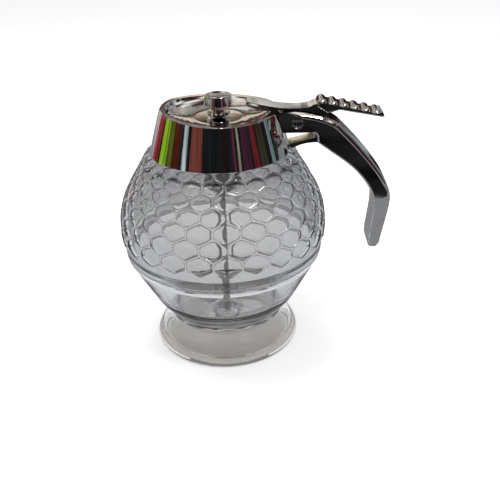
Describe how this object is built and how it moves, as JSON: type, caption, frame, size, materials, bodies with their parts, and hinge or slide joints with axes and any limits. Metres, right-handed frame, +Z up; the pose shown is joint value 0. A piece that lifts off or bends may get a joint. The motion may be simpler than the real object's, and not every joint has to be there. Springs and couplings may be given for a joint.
{
  "type": "honey dispenser",
  "caption": "Lever-operated honey dispenser: a clear honeycomb-patterned jar in a drip foot, with a plated lid, side handle and spring-loaded bottom stopper.",
  "frame": {"origin": "centre of the foot's underside, on the table and on the jar's axis", "axes": "+Z up along the jar's axis, +X towards the handle, so the lever lies in the XZ plane"},
  "size_m": [0.1172, 0.0903, 0.1135],
  "materials": {
    "clear_plastic": "polished clear acrylic",
    "plating": "bright chrome plating",
    "steel": "drawn stainless steel",
    "dark_metal": "satin",
    "seal_plastic": "soft matte",
    "stopper_rubber": "silicone"
  },
  "bodies": {
    "foot": {"foot": "clear_plastic"},
    "jar": {"jar_bowl": "clear_plastic", "jar_dome": "clear_plastic"},
    "lid": {"lid": "plating", "lid_seal": "seal_plastic", "lever_pin": "steel", "spring_housing": "dark_metal", "spring": "steel"},
    "lever": {"lever": "plating"},
    "plunger": {"plunger_rod": "steel", "rod_knob": "plating", "spring_collar": "steel", "stopper": "stopper_rubber"}
  },
  "joints": [
    {"name": "jar_lift", "type": "slide", "parent": "foot", "child": "jar", "axis": [0, 0, 1], "range_m": [0, 0.06]},
    {"name": "lid_lift", "type": "slide", "parent": "jar", "child": "lid", "axis": [0, 0, 1], "range_m": [0, 0.11]},
    {"name": "lever_press", "type": "hinge", "parent": "lid", "child": "lever", "pos_m": [0.0323, 0, 0.1031], "axis": [0, 1, 0], "range_deg": [0, 8]},
    {"name": "rod_lift", "type": "slide", "parent": "lid", "child": "plunger", "axis": [0, 0, 1], "range_m": [0, 0.00477], "stiffness_N_per_m": 400, "springref_m": -0.004, "deforming": ["spring"]}
  ],
  "couplings": [
    {"joint": "lever_press", "follows": "rod_lift", "rad_per_m": 29.24}
  ]
}
